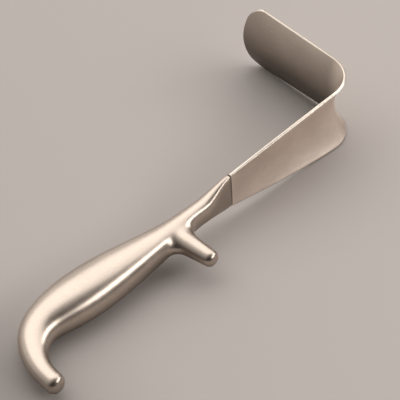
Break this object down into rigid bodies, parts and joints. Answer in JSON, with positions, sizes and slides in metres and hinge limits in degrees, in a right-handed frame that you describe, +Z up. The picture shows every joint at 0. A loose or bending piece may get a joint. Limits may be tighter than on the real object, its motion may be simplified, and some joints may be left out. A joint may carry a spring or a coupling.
{
  "type": "handheld surgical retractor",
  "caption": "Hand-held surgical retractor: a wide trough-shaped blade bent square to its shank, on a forged grip with a finger lug and a hooked end.",
  "frame": {"origin": "on the surface it rests on, under the middle of the box around the whole instrument as it lies on its side", "axes": "+X along the instrument from the hook towards the blade, +Y the way the blade's tip points, +Z up across the width of the blade"},
  "size_m": [0.2416, 0.1038, 0.0439],
  "materials": {
    "blade_steel": "satin, with a fine lengthwise grain",
    "handle_steel": "satin, polished smooth"
  },
  "bodies": {
    "root": {"blade": "blade_steel", "handle": "handle_steel"}
  },
  "joints": []
}
